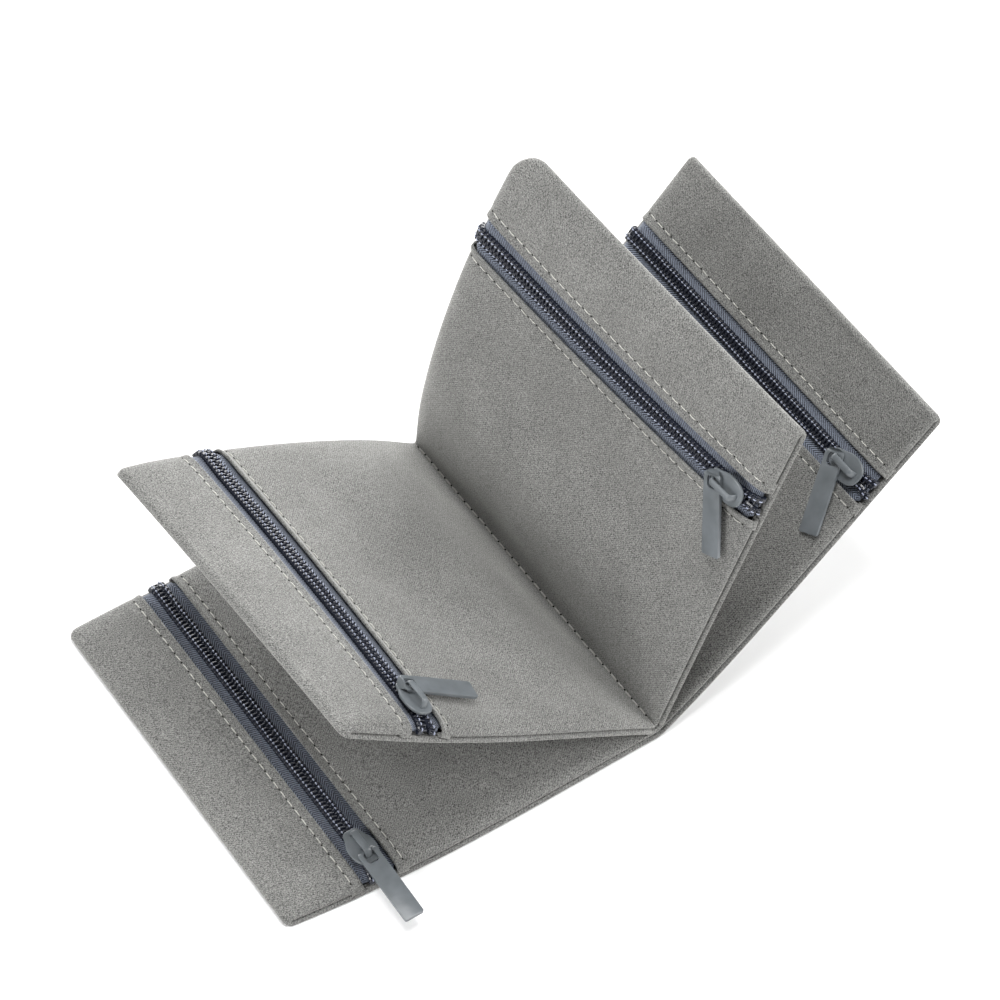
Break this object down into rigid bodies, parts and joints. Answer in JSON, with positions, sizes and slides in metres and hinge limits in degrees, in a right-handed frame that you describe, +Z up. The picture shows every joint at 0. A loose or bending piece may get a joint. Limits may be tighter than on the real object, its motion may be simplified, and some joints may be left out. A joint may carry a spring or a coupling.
{
  "type": "jewelry storage bag",
  "caption": "Folding velvet jewelry bag: zip pockets sewn along one spine that open like the pages of a book, each with a coil zip, slider and swinging pull tab.",
  "frame": {"origin": "on the table, under the middle of the bag's box as it stands open", "axes": "+X across the open bag from the leaf that lies flat to the raised ones, +Y along the spine away from the pull tabs, +Z up"},
  "size_m": [0.2112, 0.1344, 0.1143],
  "materials": {
    "velvet": "short grey velvet pile",
    "zip_tape": "slate blue herringbone zip tape",
    "nylon_coil": "dark navy nylon monofilament coil",
    "thread": "pale grey sewing thread",
    "painted_zinc": "matte grey paint on cast zinc"
  },
  "bodies": {
    "outer_left_leaf": {"outer_left_back_panel": "velvet", "outer_left_front_panel": "velvet", "outer_left_zip_tape_outer": "zip_tape", "outer_left_zip_tape_inner": "zip_tape", "outer_left_zip_coil_outer": "nylon_coil", "outer_left_zip_coil_inner": "nylon_coil", "outer_left_top_stitch_outer": "thread", "outer_left_top_stitch_inner": "thread", "outer_left_seam_thread_near": "thread", "outer_left_seam_thread_far": "thread", "spine_stitch_valley": "thread", "spine_stitch_back": "thread"},
    "inner_left_leaf": {"inner_left_back_panel": "velvet", "inner_left_front_panel": "velvet", "inner_left_zip_tape_outer": "zip_tape", "inner_left_zip_tape_inner": "zip_tape", "inner_left_zip_coil_outer": "nylon_coil", "inner_left_zip_coil_inner": "nylon_coil", "inner_left_top_stitch_outer": "thread", "inner_left_top_stitch_inner": "thread", "inner_left_seam_thread_near": "thread", "inner_left_seam_thread_far": "thread"},
    "inner_right_leaf": {"inner_right_back_panel": "velvet", "inner_right_front_panel": "velvet", "inner_right_zip_tape_outer": "zip_tape", "inner_right_zip_tape_inner": "zip_tape", "inner_right_zip_coil_outer": "nylon_coil", "inner_right_zip_coil_inner": "nylon_coil", "inner_right_top_stitch_outer": "thread", "inner_right_top_stitch_inner": "thread", "inner_right_seam_thread_near": "thread", "inner_right_seam_thread_far": "thread"},
    "outer_right_leaf": {"outer_right_back_panel": "velvet", "outer_right_front_panel": "velvet", "outer_right_zip_tape_outer": "zip_tape", "outer_right_zip_tape_inner": "zip_tape", "outer_right_zip_coil_outer": "nylon_coil", "outer_right_zip_coil_inner": "nylon_coil", "outer_right_top_stitch_outer": "thread", "outer_right_top_stitch_inner": "thread", "outer_right_seam_thread_near": "thread", "outer_right_seam_thread_far": "thread"},
    "outer_left_zip": {"outer_left_zip_slider": "painted_zinc"},
    "outer_left_pull": {"outer_left_pull_tab": "painted_zinc"},
    "inner_left_zip": {"inner_left_zip_slider": "painted_zinc"},
    "inner_left_pull": {"inner_left_pull_tab": "painted_zinc"},
    "inner_right_zip": {"inner_right_zip_slider": "painted_zinc"},
    "inner_right_pull": {"inner_right_pull_tab": "painted_zinc"},
    "outer_right_zip": {"outer_right_zip_slider": "painted_zinc"},
    "outer_right_pull": {"outer_right_pull_tab": "painted_zinc"}
  },
  "joints": [
    {"name": "outer_right_fold", "type": "hinge", "parent": "outer_left_leaf", "child": "outer_right_leaf", "pos_m": [0.00935, 0.00715, 0.0058], "axis": [0, -1, 0], "range_deg": [-22, 90]},
    {"name": "inner_right_fold", "type": "hinge", "parent": "outer_left_leaf", "child": "inner_right_leaf", "pos_m": [0.00935, 0.00715, 0.0058], "axis": [0, -1, 0], "range_deg": [-14, 57]},
    {"name": "inner_left_fold", "type": "hinge", "parent": "outer_left_leaf", "child": "inner_left_leaf", "pos_m": [0.00935, 0.00715, 0.0058], "axis": [0, -1, 0], "range_deg": [-5.1, 20.5]},
    {"name": "outer_left_zip_slide", "type": "slide", "parent": "outer_left_leaf", "child": "outer_left_zip", "axis": [0, 1, 0], "range_m": [0, 0.093]},
    {"name": "outer_left_pull_swing", "type": "hinge", "parent": "outer_left_zip", "child": "outer_left_pull", "pos_m": [-0.07815, -0.04586, 0.0076], "axis": [0, 0, 1], "range_deg": [-110, 110]},
    {"name": "inner_left_zip_slide", "type": "slide", "parent": "inner_left_leaf", "child": "inner_left_zip", "axis": [-0.0053, 1, 0.0026], "range_m": [0, 0.089]},
    {"name": "inner_left_pull_swing", "type": "hinge", "parent": "inner_left_zip", "child": "inner_left_pull", "pos_m": [-0.05891, -0.03372, 0.05783], "axis": [0.5199, 0.0005, 0.8542], "range_deg": [-5, 180]},
    {"name": "inner_right_zip_slide", "type": "slide", "parent": "inner_right_leaf", "child": "inner_right_zip", "axis": [-0.0713, 0.9971, 0.0253], "range_m": [0, 0.094]},
    {"name": "inner_right_pull_swing", "type": "hinge", "parent": "inner_right_zip", "child": "inner_right_pull", "pos_m": [0.03157, -0.04339, 0.08881], "axis": [0.9298, 0.0756, -0.3602], "range_deg": [-5, 180]},
    {"name": "outer_right_zip_slide", "type": "slide", "parent": "outer_right_leaf", "child": "outer_right_zip", "axis": [0.0043, 0.9999, -0.0142], "range_m": [0, 0.092]},
    {"name": "outer_right_pull_swing", "type": "hinge", "parent": "outer_right_zip", "child": "outer_right_pull", "pos_m": [0.08038, -0.03509, 0.05441], "axis": [0.6301, -0.0137, -0.7764], "range_deg": [-5, 180]}
  ],
  "couplings": [
    {"joint": "inner_right_fold", "follows": "outer_right_fold", "ratio": 0.633},
    {"joint": "inner_left_fold", "follows": "outer_right_fold", "ratio": 0.2275}
  ]
}
